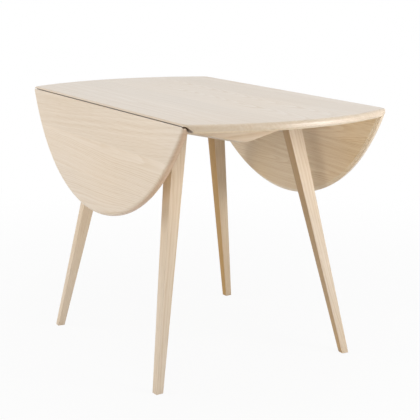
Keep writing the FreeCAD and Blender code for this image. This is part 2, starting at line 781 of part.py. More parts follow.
def wing(name, side):
    """A tapering board whose upper edge lies level when it is swung out."""
    half = f"({s('wing_thickness')} / 2)"
    allowance = f"({half} * tan({s('wing_rake')}) + {s('wing_allowance')})"
    outline = (
        (half, allowance),
        (f"-{s('wing_reach')}", allowance),
        (f"-{s('wing_reach')}", f"-{s('wing_tip_height')}"),
        (f"-{s('wing_straight')}", f"-{s('wing_height')}"),
        (half, f"-{s('wing_height')}"),
    )
    profile = board(f"{name}_profile", "XZ_Plane", outline, s("wing_thickness"))
    turn_x = -size(s("wing_straight"))
    dress_edges(
        profile,
        "Fillet",
        f"{name}_turn",
        {"Radius": s("wing_round")},
        lambda box: abs(box.XMin - turn_x) < NEAR and abs(box.XMax - turn_x) < NEAR,
    )
    tall = f"({s('wing_height')} + 2 * {allowance})"
    low = f"(-{s('wing_height')} - {allowance} / 2)"
    strip = cuboid(
        f"{name}_strip",
        (f"-{s('wing_reach')}", f"-{half}", low),
        (s("wing_reach"), s("wing_thickness"), tall),
    )
    barrel = rod(f"{name}_barrel", half, tall, ("0", "0", low), UPWARD)
    rounded = overlap(f"{name}_rounded", profile, fuse(f"{name}_plan", [strip, barrel]))
    wide = s("wing_thickness")
    slope = doc.addObject("Part::Box", f"{name}_slope")
    bind(slope, {"Length": f"2 * {s('wing_reach')}", "Width": f"2 * {wide}", "Height": wide})
    place(
        slope,
        (
            f"-1.5 * {s('wing_reach')}",
            f"-{wide} * cos({s('wing_rake')})",
            f"{side} * {wide} * sin({s('wing_rake')})",
        ),
        V(-side, 0, 0),
        s("wing_rake"),
    )
    notch_low = f"-({s('bracket_drop')} + {s('bracket_thickness')} + {s('wing_gap')})"
    notch = cuboid(
        f"{name}_notch",
        (f"-{s('wing_notch')}", f"-{wide}", notch_low),
        (f"2 * {s('wing_notch')}", f"2 * {wide}", f"{allowance} - {notch_low}"),
    )
    bore_radius = f"{s('pin_radius')} + {s('pin_gap')}"
    bore = rod(f"{name}_bore", bore_radius, tall, ("0", "0", low), UPWARD)
    return wing_place(cut(name, rounded, [slope, notch, bore]), side)


def wing_pin(name, side):
    length = f"{LOWER_LUG} - {s('bracket_drop')} + 2 * {s('pin_spare')}"
    start = ("0", "0", f"-{LOWER_LUG} - {s('pin_spare')}")
    steel = rod(f"{name}_rod", s("pin_radius"), length, start, UPWARD)
    return wing_place(gather(name, [steel]), side)


SCREW_ROWS = (
    f"-({s('bracket_drop')} + {s('bracket_thickness')} + {s('bracket_screw_inset')})",
    f"-({LOWER_LUG} - {s('bracket_thickness')} - {s('bracket_screw_inset')})",
)


def bracket_screw(name, side, low):
    """Countersunk screw through the back plate into the side rail."""
    start = ("0", f"-{side} * ({s('wing_thickness')} / 2 + {s('wing_gap')})", low)
    toward = V(0, -side, 0)
    head = taper(
        f"{name}_head",
        s("bracket_screw_head"),
        s("bracket_screw_radius"),
        s("bracket_back"),
        start,
        toward,
    )
    shank = rod(
        f"{name}_shank", s("bracket_screw_radius"), s("bracket_screw_length"), start, toward
    )
    return fuse(name, [head, shank])


def bracket_screws(name, side):
    pair = [bracket_screw(f"{name}_{n}", side, low) for n, low in enumerate(SCREW_ROWS)]
    return wing_place(gather(name, pair), side)


def wing_bracket(name, side):
    """A back plate with two lugs that hold the pin above and below the wing."""
    back_inner = f"({s('wing_thickness')} / 2 + {s('wing_gap')})"
    back = cuboid(
        f"{name}_back",
        (
            f"-{s('bracket_half_width')}",
            span_low(-side, back_inner, s("bracket_back")),
            f"-{LOWER_LUG}",
        ),
        (
            f"2 * {s('bracket_half_width')}",
            s("bracket_back"),
            f"{LOWER_LUG} - {s('bracket_drop')}",
        ),
    )
    depth = f"({back_inner} + {s('bracket_back')} + {s('lug_reach')})"
    lugs = [
        cuboid(
            f"{name}_lug_{n}",
            (
                f"-{s('lug_half_width')}",
                span_low(side, f"(-{back_inner} - {s('bracket_back')})", depth),
                low,
            ),
            (f"2 * {s('lug_half_width')}", depth, s("bracket_thickness")),
        )
        for n, low in enumerate(
            (f"-{s('bracket_drop')} - {s('bracket_thickness')}", f"-{LOWER_LUG}")
        )
    ]
    whole = fuse(f"{name}_whole", [back] + lugs)
    bore_start = ("0", "0", f"-1.5 * {LOWER_LUG}")
    bore = rod(f"{name}_bore", s("pin_radius"), f"2 * {LOWER_LUG}", bore_start, UPWARD)
    sinks = [
        bracket_screw(f"{name}_sink_{n}", side, low) for n, low in enumerate(SCREW_ROWS)
    ]
    return wing_place(cut(name, whole, [bore] + sinks), side)


# -------------------------------------------------------------------- assembly

slab = oval_slab()
hinge_parts = {side: hinge_set(side_name, side) for side_name, side in SIDES}

blanks = {}
side_tenons = {}
fixings = {}
top_screws = {}
for end_name, end in ENDS:
    for side_name, side in SIDES:
        tag = f"{side_name}_{end_name}"
        blanks[end, side] = leg_blank(f"leg_blank_{tag}", end, side)
        side_tenons[end, side] = side_tenon(f"side_tenon_{tag}", end, side)
        fixings[end, side] = leg_fixing(tag, end, side)
        top_screws[end, side] = [
            top_screw(f"top_screw_{tag}_{step + 1}", end, side, step) for step in (-1, 1)
        ]

below_pivots = cuboid(
    "below_pivots",
    (f"-{s('oval_half_length')}", f"-{s('oval_half_width')}", "0"),
    (f"2 * {s('oval_half_length')}", f"2 * {s('oval_half_width')}", PIVOT_Z),
)
beads = [
    cut(
        f"bead_{side_name}",
        line_rod(f"bead_rod_{side_name}", s("bead_radius"), side),
        [below_pivots],
    )
    for side_name, side in SIDES
]
prism = board("centre_prism", "YZ_Plane", centre_section(), PAST_ENDS)
core = fuse("centre_core", [prism] + beads)
top_tools = [screw_pair[0] for pairs in top_screws.values() for screw_pair in pairs]
for side_name, side in SIDES:
    flaps, screws = hinge_parts[side]
    top_tools += hinge_notches(side_name, side) + [flaps[-1], screws[-1]]
keep(cut("centre_top", overlap("centre_oval", slab, core), top_tools), "centre_top")

for side_name, side in SIDES:
    prism = board(f"leaf_prism_{side_name}", "YZ_Plane", leaf_section(side), PAST_ENDS)
    hollow = line_rod(
        f"hollow_{side_name}", f"{s('bead_radius')} + {s('hollow_gap')}", side
    )
    outline = overlap(f"leaf_oval_{side_name}", slab, prism)
    raised = cut(f"leaf_raised_{side_name}", outline, [hollow])
    drop = s("leaf_drop")
    hinge_y = f"{side} * {s('pivot_y')}"
    place(
        raised,
        (
            "0",
            f"{hinge_y} * (1 - cos({drop})) - {side} * {PIVOT_Z} * sin({drop})",
            f"{PIVOT_Z} * (1 - cos({drop})) + {s('pivot_y')} * sin({drop})",
        ),
        V(-side, 0, 0),
        drop,
    )
    flaps, screws = hinge_parts[side]
    keep(cut(f"leaf_{side_name}", raised, [flaps[1], screws[1]]), f"leaf_{side_name}")

below_top = cuboid(
    "below_top",
    (f"-{s('oval_half_length')}", f"-{s('oval_half_width')}", "0"),
    (f"2 * {s('oval_half_length')}", f"2 * {s('oval_half_width')}", UNDER),
)
end_rails = {}
for end_name, end in ENDS:
    name = f"end_rail_{end_name}"
    legs = [blanks[end, side] for _, side in SIDES]
    end_rails[end] = keep(end_rail(name, end, legs, below_top), name)

bracket_screw_nodes = []
side_rails = {}
for side_name, side in SIDES:
    screws = bracket_screws(f"bracket_screws_{side_name}", side)
    bracket_screw_nodes.append(screws)
    name = f"side_rail_{side_name}"
    legs = [blanks[end, side] for _, end in ENDS]
    tenons = [side_tenons[end, side] for _, end in ENDS]
    side_rails[side] = keep(side_rail(name, side, legs, tenons, screws), name)

for end_name, end in ENDS:
    for side_name, side in SIDES:
        tag = f"{side_name}_{end_name}"
        bolt = fixings[end, side][0]
        joints = [side_tenons[end, side], bolt]
        keep(cut(f"leg_{tag}", blanks[end, side], joints), f"leg_{tag}")
        tools = [bolt] + [part for pair in top_screws[end, side] for part in pair]
        rails = [end_rails[end], side_rails[side]]
        name = f"corner_block_{tag}"
        keep(corner_block(name, end, side, rails, tools), name)

for index, name in enumerate(("leg_bolts", "leg_washers", "leg_nuts")):
    keep(gather(name, [fixing[index] for fixing in fixings.values()]), name)
keep(
    gather("top_screws", [pair[0] for pairs in top_screws.values() for pair in pairs]),
    "top_screws",
)

for side_name, side in SIDES:
    keep(wing(f"wing_{side_name}", side), f"wing_{side_name}")
    keep(wing_pin(f"wing_pin_{side_name}", side), f"wing_pin_{side_name}")
    name = f"wing_bracket_{side_name}"
    keep(wing_bracket(name, side), name)
keep(gather("bracket_screws", bracket_screw_nodes), "bracket_screws")

# ----------------------------------------------------------------------- export

doc.recompute()
for piece in doc.Objects:
    if "Invalid" in piece.State or "Error" in piece.State:
        raise RuntimeError(f"{piece.Name} failed: {piece.State}")
for piece in nodes:
    if piece.Shape.isNull() or not piece.Shape.isValid():
        raise RuntimeError(f"{piece.Label} has no valid shape")

os.makedirs("parts", exist_ok=True)
for piece in nodes:
    piece.Shape.exportStep(f"parts/{piece.Label}.step")
    box = piece.Shape.optimalBoundingBox()
    print(
        f"{piece.Label:28s} {len(piece.Shape.Solids):2d} solids {piece.Shape.Volume:11.0f} mm3 "
        f"x {box.XMin:8.2f} {box.XMax:8.2f}  y {box.YMin:8.2f} {box.YMax:8.2f}  "
        f"z {box.ZMin:8.2f} {box.ZMax:8.2f}"
    )
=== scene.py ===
import json
import math

import bpy
import numpy as np
from mathutils import Matrix, Vector

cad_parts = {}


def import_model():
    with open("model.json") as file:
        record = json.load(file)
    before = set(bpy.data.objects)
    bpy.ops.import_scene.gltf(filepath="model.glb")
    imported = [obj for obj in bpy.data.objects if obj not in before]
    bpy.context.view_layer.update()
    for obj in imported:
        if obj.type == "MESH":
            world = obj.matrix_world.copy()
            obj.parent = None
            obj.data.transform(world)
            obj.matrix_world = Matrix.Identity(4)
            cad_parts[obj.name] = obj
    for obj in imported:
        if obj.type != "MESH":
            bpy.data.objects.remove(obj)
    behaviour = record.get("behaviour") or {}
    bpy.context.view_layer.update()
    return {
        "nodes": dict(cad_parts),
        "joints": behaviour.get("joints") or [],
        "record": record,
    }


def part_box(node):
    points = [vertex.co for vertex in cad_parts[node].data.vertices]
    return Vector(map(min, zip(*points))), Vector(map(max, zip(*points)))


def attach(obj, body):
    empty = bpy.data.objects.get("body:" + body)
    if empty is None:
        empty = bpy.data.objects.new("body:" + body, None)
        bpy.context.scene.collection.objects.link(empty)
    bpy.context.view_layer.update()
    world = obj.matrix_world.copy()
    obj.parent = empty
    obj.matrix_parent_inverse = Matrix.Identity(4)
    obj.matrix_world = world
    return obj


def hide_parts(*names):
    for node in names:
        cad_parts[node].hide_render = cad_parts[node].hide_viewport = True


# An oval drop-leaf table of whitened ash, with both leaves hanging.
# Metres; +X along the hinge lines, +Y to the back leaf, +Z up.

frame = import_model()

MM = 0.001
ENDS = {"left": -1, "right": 1}
SIDES = {"front": -1, "back": 1}
ALONG_X, ALONG_Y, UP = (1, 0, 0), (0, 1, 0), (0, 0, 1)

# ------------------------------------------------------------ sizes of the table

HINGE = next(joint for joint in frame["joints"] if joint["name"] == "back_leaf_hinge")
DROP = math.radians(HINGE["range_deg"][1])
TOP_LOW, TOP_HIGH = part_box("centre_top")

HEIGHT = TOP_HIGH.z                      # floor to table surface
THICK = TOP_HIGH.z - TOP_LOW.z           # top and leaves
UNDER = TOP_LOW.z                        # underside of the top
HALF_LENGTH = TOP_HIGH.x                 # oval, along X
HALF_WIDTH = 622 * MM                    # oval with the leaves up, along Y
_, PIVOT_Y, PIVOT_Z = HINGE["pos_m"]     # hinge line
BEAD = TOP_HIGH.y - PIVOT_Y              # radius of the quarter-round bead on the hinge line
HOLLOW = BEAD + 0.5 * MM                 # radius of the hollow over it
EDGE_ROUND = 11 * MM                     # upper edge of the oval
BEVEL_INSET = 9 * MM                     # lower edge of the oval
BEVEL_RISE = 6 * MM
LIP = 1 * MM                             # eased arris at the joint
TOP_CORNER = 20 * MM                     # rounded in plan, where the oval meets a hinge line
LEAF_CORNER = 3 * MM
LEAF_GAP = 1.8 * MM                      # between top and leaf, hanging and raised
HALF_GAP = LEAF_GAP / 2

HINGE_PITCH = 330 * MM
HINGE_LENGTH = 50 * MM
HINGE_ROOM = 0.3 * MM
FLAP = 18 * MM
PLATE = 1.55 * MM                        # recess for a flap, a little over its thickness
RECESS_END = 1.2 * MM                    # above the underside, where a flap's recess runs out
KNUCKLE_ROOM = 2.9 * MM                  # radius that is clear for the knuckles
FLAP_ROOM = HALF_GAP + 1.8 * MM          # from the pin's middle to what a swung flap clears

LEG_TOP = np.array([206, 180]) * MM      # middle of a leg under the top, along X and Y
LEG_FOOT = np.array([331, 314.5]) * MM
LEG_TOP_HALF = np.array([43, 46]) * MM / 2
LEG_FOOT_HALF = np.array([22, 22]) * MM / 2
LEG_TWIST = math.radians(4.7)
LEG_STRAIGHT = 20 * MM                   # above the floor, where the even rows start
SEAT_GAP = 0.3 * MM                      # legs and rails end this far under the top
ARRIS = 1.8 * MM                         # eased edges of legs and rails
FOOT_ROWS = np.array([[0, 0], [0, 1.2], [0.4, 0.35], [1.2, 0]]) * MM   # height, and draw-in

RAIL_THICK = 34 * MM
RAIL_HOUSING = 4 * MM                    # the legs are let into the rail's back
RAIL_MIDDLE = 81.5 * MM                  # depth at the lowest point, before it is rounded
RAIL_END = 46.5 * MM
RAIL_APEX = 90 * MM                      # radius of the round at the lowest point
RAIL_SPARE = 5 * MM                      # height over the top's underside, before it is held

# ------------------------------------------------------- how the grids are drawn

WELD = 1e-7
SHARP = math.radians(32)                 # a sharper edge isn't shaded round
STEP = 2e-6                              # half the width of a step in a grid
TOP_LINE = 440 * MM                      # even stations on a hinge line reach this far in X
LEAF_LINE = 455 * MM
PAST_HINGES = 1.0                        # a place along X that has no hinge
POCKET_ROWS = 9                          # bunched under the pin, for the pocket in the bead
POCKET_HEIGHTS = PIVOT_Z - STEP * np.linspace(3.8, 2.2, POCKET_ROWS)


# ------------------------------------------------------------------ mesh helpers

def surface(name, patches):
    """One mesh from grids of points, each rows x columns x 3, with faces to the left of the rows.

    Points that coincide become one vertex, and faces that lose a corner to that become
    triangles or vanish."""
    points, faces, start = [], [], 0
    for patch in patches:
        rows, columns = patch.shape[:2]
        index = start + np.arange(rows * columns).reshape(rows, columns)
        quads = np.stack([index[:-1, :-1], index[:-1, 1:], index[1:, 1:], index[1:, :-1]], -1)
        points.append(patch.reshape(-1, 3))
        faces.append(quads.reshape(-1, 4))
        start += rows * columns
    points = np.concatenate(points)
    faces = np.concatenate(faces)
    _, first, same = np.unique(
        np.round(points / WELD).astype(np.int64), axis=0, return_index=True, return_inverse=True
    )
    faces = same.reshape(-1)[faces]
    own = faces != np.roll(faces, 1, axis=1)
    whole = faces[own.sum(1) == 4]
    three = own.sum(1) == 3
    triangles = faces[three][own[three]].reshape(-1, 3)
    mesh = bpy.data.meshes.new(name)
    mesh.from_pydata(points[first].tolist(), [], whole.tolist() + triangles.tolist())
    mesh.validate()
    mesh.polygons.foreach_set("use_smooth", np.ones(len(mesh.polygons), bool))
    mesh.set_sharp_from_angle(angle=SHARP)
    piece = bpy.data.objects.new(name, mesh)
    bpy.context.scene.collection.objects.link(piece)
    return piece


def stack(x, y, z):
    """One array of points from their coordinates, each an array or a number."""
    return np.stack(np.broadcast_arrays(x, y, z), -1)


def turned_about_x(points, angle, y, z):
    """Points turned about the line along X through (y, z)."""
    across, up = points[..., 1] - y, points[..., 2] - z
    return stack(
        points[..., 0],
        y + across * math.cos(angle) - up * math.sin(angle),
        z + across * math.sin(angle) + up * math.cos(angle),
    )


# -------------------------------------------------------------- plan of the oval

def oval_arcs():
    """Radii of the end arcs and side arcs of the draughtsman's oval, and where they meet.

    With c the chord between an end and a side of the oval, the radius at an end is
    c (c + b - a) / 2a and at a side c (c - b + a) / 2b; the arcs meet where the outward
    normal is square to that chord."""
    chord = math.hypot(HALF_LENGTH, HALF_WIDTH)
    wider = HALF_WIDTH - HALF_LENGTH
    end = chord * (chord + wider) / (2 * HALF_LENGTH)
    side = chord * (chord - wider) / (2 * HALF_WIDTH)
    return end, side, math.atan2(HALF_LENGTH, HALF_WIDTH)


END_RADIUS, SIDE_RADIUS, MEET = oval_arcs()


def oval(angle, inset):
    """Point of the outline, moved inwards by inset, whose outward normal has that angle.

    It is the centre of its arc plus (radius - inset) times (cos angle, sin angle)."""
    along = np.abs(np.sin(angle)) > math.sin(MEET)
    x = np.where(along, 0, np.sign(np.cos(angle)) * (HALF_LENGTH - END_RADIUS))
    y = np.where(along, np.sign(np.sin(angle)) * (HALF_WIDTH - SIDE_RADIUS), 0)
    radius = np.where(along, SIDE_RADIUS, END_RADIUS) - inset
    return x + radius * np.cos(angle), y + radius * np.sin(angle)


def corner(inset, y, radius, way):
    """Round corner in plan between an end arc of the oval and the line along X at y.

    It is its centre plus radius times (cos, sin); the centre lies radius inside the arc and
    the line.  It goes from the arc to the line, which lies on the side way of the corner.
    Returned with the angle at which it leaves the arc."""
    centre_y = y - way * radius
    within = END_RADIUS - inset - radius
    centre_x = HALF_LENGTH - END_RADIUS + np.sqrt(within**2 - centre_y**2)
    start = np.arcsin(centre_y / within)
    angle = start + (way * math.pi / 2 - start) * np.linspace(0, 1, 9)
    return centre_x + radius * np.cos(angle), centre_y + radius * np.sin(angle), start


# ------------------------------------------------------- section of top and leaf

def edge_inset(z):
    """How far the edge lies inside the outline: a bevel below, a quarter circle above."""
    up = z - UNDER
    bevel = BEVEL_INSET * np.clip(1 - up / BEVEL_RISE, 0, 1)
    rise = np.clip(up - (THICK - EDGE_ROUND), 0, EDGE_ROUND)
    return bevel + EDGE_ROUND - np.sqrt(EDGE_ROUND**2 - rise**2)


def lip_inset(z):
    """How far the eased arris lies inside the joint's upright face: a quarter circle."""
    rise = np.clip(z - (HEIGHT - LIP), 0, LIP)
    return LIP - np.sqrt(LIP**2 - rise**2)


def mitre(below, depth):
    """Distance from the hinge line of a plane parallel to the mitre and depth behind it."""
    half = DROP / 2
    return (HALF_GAP + depth + below * math.sin(half)) / math.cos(half)


def flap_recess(below):
    """Recess of a flap: to its plate's back, and no further than its end."""
    half = DROP / 2
    end = (FLAP + HINGE_ROOM - below * math.cos(half)) / math.sin(half)
    return np.maximum(mitre(below, 0), np.minimum(mitre(below, PLATE), end))


def round_of(radius, z):
    """Half width, at the height z, of a circle about the hinge line."""
    return np.sqrt(np.clip(radius**2 - (z - PIVOT_Z) ** 2, 0, None))


def beside_hinge(x):
    """True between the ends of a hinge."""
    steps = HINGE_PITCH * np.arange(-1, 2)
    near = np.abs(np.asarray(x)[..., None] - steps).min(-1)
    return near < HINGE_LENGTH / 2 + HINGE_ROOM


def top_reach(x, z):
    """Half width of the centre top: upright, then the quarter-round bead, then the mitre.

    Beside a hinge the wood below the bead is cut back to the knuckles and the flap."""
    below = np.clip(PIVOT_Z - z, 0, None)
    plain = np.where(z > PIVOT_Z, 0, -mitre(below, 0))
    on_bead = (z < PIVOT_Z + BEAD) & (z > PIVOT_Z - 2 * STEP)
    reach = np.where(on_bead, round_of(BEAD, z), plain)
    cut = np.minimum(-flap_recess(below), -round_of(KNUCKLE_ROOM, z))
    reach = np.where(beside_hinge(x) & (z < PIVOT_Z - 2 * STEP), np.minimum(reach, cut), reach)
    return PIVOT_Y + reach - lip_inset(z)


def leaf_reach(x, z):
    """Inner edge of a raised leaf: upright, the hollow or the mitre, whichever cuts deepest."""
    below = np.clip(PIVOT_Z - z, 0, None)
    depth = np.where(beside_hinge(x), flap_recess(below), mitre(below, 0))
    plain = np.where(z > PIVOT_Z, LEAF_GAP, depth)
    return PIVOT_Y + np.maximum(plain, round_of(HOLLOW, z)) + lip_inset(z)


def knuckle_pocket():
    """Section of the pocket in the bead, from the inside out, as distances from the pin.

    It is an arc round the knuckles, then a straight wall along the swung flap, down to the
    level of the pin: where the arc leaves it, the wall lies FLAP_ROOM from the pin."""
    half = DROP / 2
    leaves = half - math.acos(FLAP_ROOM / KNUCKLE_ROOM)
    angle = np.linspace(math.pi, leaves, POCKET_ROWS - 1)
    wall_end = FLAP_ROOM / math.cos(half)
    return (
        np.append(KNUCKLE_ROOM * np.cos(angle), wall_end),
        np.append(KNUCKLE_ROOM * np.sin(angle), 0),
    )


def slab_heights():
    """Heights of the slab's rows: even turns round the edge, the lip, the bead and its hollow.

    Further rows stand at the bevel, at the end of the flaps' recesses and at the pin."""
    quarter = np.linspace(0, math.pi / 2, 11)
    half = np.linspace(-math.pi / 2, math.pi / 2, 15)
    heights = np.concatenate([
        [UNDER, UNDER + BEVEL_RISE, UNDER + RECESS_END, PIVOT_Z - 4 * STEP, PIVOT_Z - STEP],
        HEIGHT - EDGE_ROUND * (1 - np.sin(quarter)),
        HEIGHT - LIP * (1 - np.sin(quarter[::3])),
        PIVOT_Z + BEAD * np.sin(quarter),
        PIVOT_Z + HOLLOW * np.sin(half),
        POCKET_HEIGHTS,
    ])
    return np.unique(np.round(np.clip(heights, UNDER, HEIGHT), 8))


def hinge_stations(limit, count):
    """Places along X: so many evenly from -limit to limit, and a step at each hinge's ends."""
    room = HINGE_LENGTH / 2 + HINGE_ROOM
    ends = (HINGE_PITCH * np.arange(-1, 2)[:, None] + [-room, room]).reshape(-1)
    steps = np.concatenate([ends - STEP, ends + STEP])
    return np.sort(np.concatenate([steps, np.linspace(-limit, limit, count)]))


# ----------------------------------------------------------------- top and leaves

def centre_top():
    """Slices at every height: an arc, a hinge side, an arc, a hinge side; then two faces.

    Each slice is the oval at that height's inset, held between -reach and +reach, with
    round corners.  Beside a hinge the rows under the pin are moved onto the pocket."""
    z = slab_heights()[:, None]
    inset = edge_inset(z)
    lines = hinge_stations(TOP_LINE, 17)
    corner_x, corner_y, reach = corner(inset, top_reach(PAST_HINGES, z), TOP_CORNER, 1)
    arc_x, arc_y = oval(reach * np.linspace(-1, 1, 65), inset)
    arc_x = np.concatenate([corner_x[:, ::-1], arc_x[:, 1:-1], corner_x], axis=1)
    arc_y = np.concatenate([-corner_y[:, ::-1], arc_y[:, 1:-1], corner_y], axis=1)
    line_y = top_reach(lines, z)
    line_z = z + 0 * line_y
    pocket_y, pocket_z = knuckle_pocket()
    rows = np.searchsorted(z[:, 0], POCKET_HEIGHTS - 0.1 * STEP)
    pocket = np.ix_(rows, beside_hinge(lines))
    line_y[pocket] = PIVOT_Y + pocket_y[:, None]
    line_z[pocket] = PIVOT_Z + pocket_z[:, None]
    ring = np.concatenate([
        stack(arc_x, arc_y, z),
        stack(lines[::-1], line_y[:, ::-1], line_z[:, ::-1]),
        stack(-arc_x[:, ::-1], arc_y[:, ::-1], z),
        stack(lines, -line_y, line_z),
    ], axis=1)
    ring = np.concatenate([ring, ring[:, :1]], axis=1)
    across = np.concatenate([[HALF_LENGTH], lines[::-1], [-HALF_LENGTH]])
    faces = []
    for row, way in ((-1, 1), (0, -1)):
        half = arc_x[row][:, None]
        face = stack(np.clip(across, -half, half), arc_y[row][:, None], z[row])
        faces.append(face[::-1, ::way])
    return surface("centre_top_boards", [ring] + faces)


def leaf(side_name, side):
    """Slices at every height: the outer arcs, then the inner edge; then two faces.

    It is worked out raised and on the back side, mirrored if it is the front one, and
    turned down about its hinge line."""
    z = slab_heights()[:, None]
    inset = edge_inset(z)
    lines = hinge_stations(LEAF_LINE, 61)
    corner_x, corner_y, start = corner(inset, leaf_reach(PAST_HINGES, z), LEAF_CORNER, -1)
    share = np.linspace(0, 1, len(lines) + 2)
    arc_x, arc_y = oval(start + (math.pi - 2 * start) * share, inset)
    line_x = np.broadcast_to(lines, (len(z), len(lines)))
    inner_x = np.concatenate([-corner_x, line_x, corner_x[:, ::-1]], axis=1)
    inner_y = np.concatenate([corner_y, leaf_reach(lines, z), corner_y[:, ::-1]], axis=1)
    outer = stack(arc_x, arc_y, z)
    inner = stack(inner_x, inner_y, z)
    ring = np.concatenate([outer, inner[:, 1:]], axis=1)
    # a face is drawn from the inner edge to the outer one, which waits at its ends meanwhile
    wait = corner_x.shape[1] - 1
    outer = np.pad(outer, ((0, 0), (wait, wait), (0, 0)), mode="edge")
    share = np.linspace(0, 1, 9)[:, None, None]
    upper, lower = (inner[row][::-1] * (1 - share) + outer[row] * share for row in (-1, 0))
    placed = []
    for patch in (ring, upper[::-1], lower):
        points = turned_about_x(patch, -DROP, PIVOT_Y, PIVOT_Z)
        if side < 0:
            points = (points * [1, -1, 1])[::-1]
        placed.append(points)
    return surface(f"leaf_boards_{side_name}", placed)


# --------------------------------------------------------------- legs and rails

def eased_rectangle(half_x, half_y, radius):
    """Outline of a rectangle with round corners, anticlockwise, closed, one row per size.

    A corner is its centre plus radius times (cos, sin) over a quarter turn."""
    corner_points = 5
    turns = np.arange(4)[:, None] * math.pi / 2 + np.linspace(0, math.pi / 2, corner_points)
    turns = np.append(turns.reshape(-1), 0)
    sign_x = np.append(np.repeat([1, -1, -1, 1], corner_points), 1)
    sign_y = np.append(np.repeat([1, 1, -1, -1], corner_points), 1)
    return (
        sign_x * (half_x - radius) + radius * np.cos(turns),
        sign_y * (half_y - radius) + radius * np.sin(turns),
    )


def leg(name, end, side):
    """A square leg, tapered straight: an eased rectangle carried up the leaning centre line.

    Its half widths and its middle change evenly with the height.  The first rows draw in
    for the eased edge of the foot, and both ends close to a point."""
    even = np.linspace(LEG_STRAIGHT, UNDER - SEAT_GAP, 40)
    z = np.concatenate([FOOT_ROWS[:, 0], even])[:, None]
    draw_in = np.zeros_like(z)
    draw_in[:len(FOOT_ROWS), 0] = FOOT_ROWS[:, 1]
    share = z / UNDER
    half_x, half_y = (
        foot + (top - foot) * share - draw_in for foot, top in zip(LEG_FOOT_HALF, LEG_TOP_HALF)
    )
    across, deep = eased_rectangle(half_x, half_y, ARRIS)
    turn = -end * side * LEG_TWIST
    x = end * (LEG_FOOT[0] + (LEG_TOP[0] - LEG_FOOT[0]) * share)
    y = side * (LEG_FOOT[1] + (LEG_TOP[1] - LEG_FOOT[1]) * share)
    skin = stack(
        x + across * math.cos(turn) - deep * math.sin(turn),
        y + across * math.sin(turn) + deep * math.cos(turn),
        z,
    )
    skin[0] = stack(x[0], y[0], z[0])
    last = stack(x[-1:], y[-1:], z[-1:] + 0 * across[-1:])
    return surface(name, [np.concatenate([skin, last])])


def rail_low(y):
    """Lower edge of an end rail: two straight slopes with a round between them."""
    inner = LEG_TOP[1] - LEG_TOP_HALF[1]
    slope = math.atan((RAIL_MIDDLE - RAIL_END) / inner)
    straight = -RAIL_MIDDLE + np.abs(y) * math.tan(slope)
    centre = -RAIL_MIDDLE + RAIL_APEX / math.cos(slope)
    arc = centre - np.sqrt(np.clip(RAIL_APEX**2 - y**2, 0, None))
    return np.where(np.abs(y) < RAIL_APEX * math.sin(slope), arc, straight)


def end_rail(name, end):
    """A leaning board across the legs: its section carried along its lower edge.

    The section is a rectangle with eased lower corners, and its first and last copies are
    drawn in a little and closed to a line, for the eased end grain."""
    lean = math.atan((LEG_FOOT[0] - LEG_TOP[0]) / UNDER)
    middle = LEG_TOP[0] + LEG_TOP_HALF[0] - RAIL_HOUSING + RAIL_THICK / 2
    shoulder = LEG_TOP[1] + LEG_TOP_HALF[1]
    angle = np.linspace(0, math.pi / 2, 5)[:, None]
    eased = shoulder - ARRIS * (1 - np.sin(angle))
    y = np.concatenate([-eased[::-1], np.linspace(-eased[0], eased[0], 81)[1:-1], eased])
    draw_in = ARRIS * (1 - np.sqrt(1 - (np.clip(np.abs(y) - eased[0], 0, None) / ARRIS) ** 2))
    half = RAIL_THICK / 2 - draw_in
    angle = np.linspace(math.pi, 1.5 * math.pi, 6)
    side = -half + ARRIS * (1 + np.cos(angle))
    rise = ARRIS * (1 + np.sin(angle))
    across = np.concatenate([-half, side, -side[:, ::-1], half], axis=1)
    low = rail_low(y) + draw_in
    high = np.full_like(low, RAIL_SPARE)
    up = np.concatenate([high, low + rise, low + rise[::-1], high], axis=1)
    x = end * (middle + across * math.cos(lean) - up * math.sin(lean))
    z = UNDER + up * math.cos(lean) + across * math.sin(lean)
    # a point is held under the top along the lean of its own face
    over = np.clip(z - (UNDER - SEAT_GAP), 0, None)
    skin = stack(x + end * over * math.tan(lean), y, z - over)
    skin = np.concatenate([skin, skin[:, :1]], axis=1)
    tips = skin[[0, -1]]
    tips[..., 0] = tips[..., 0].mean(1, keepdims=True)
    skin = np.concatenate([tips[:1], skin, tips[1:]])
    return surface(name, [skin[::end]])


# --------------------------------------------------------------------- node tools

def linear(code):
    """sRGB hex to linear RGBA."""
    parts = [int(code[n:n + 2], 16) / 255 for n in (1, 3, 5)]
    return [c / 12.92 if c <= 0.04045 else ((c + 0.055) / 1.055) ** 2.4 for c in parts] + [1]


def add(tree, kind, values=(), **settings):
    """Adds a node.  Values, in turn or by socket, are numbers, colours or nodes' outputs."""
    made = tree.nodes.new("ShaderNode" + kind)
    for name, value in settings.items():
        setattr(made, name, value)
    by_socket = values if isinstance(values, dict) else dict(enumerate(values))
    for socket, value in by_socket.items():
        if isinstance(value, bpy.types.NodeSocket):
            tree.links.new(value, made.inputs[socket])
        else:
            made.inputs[socket].default_value = value
    return made.outputs


def material(name):
    """An empty material with a Principled shader; returns it, its tree and the shader."""
    made = bpy.data.materials.new(name)
    made.use_nodes = True
    tree = made.node_tree
    tree.nodes.clear()
    add(tree, "OutputMaterial", add(tree, "BsdfPrincipled"))
    return made, tree, tree.nodes["Principled BSDF"]


# ---------------------------------------------------------------------------- ash

BOARD = 104 * MM                         # width of the glued boards
RING = 3.4 * MM                          # growth rings on edge, real ones are about 2.5 mm
WAVER = 1.2                              # in rings
TILT = (-0.05, 0.05)                     # slope of the pith through a board, from board to board
RUN_OUT = (-0.08, 0.08)                  # and across it
DRIFT = (40 * MM, 14 * MM)               # how far the pith wanders across and through a board
PORE_DEPTH = 0.06 * MM

LATE_WOOD = "#E8D8C4"                    # whitened; the white fills the smooth late wood
EARLY_WOOD = "#CAAF8A"                   # and less of it stays on the coarse early wood

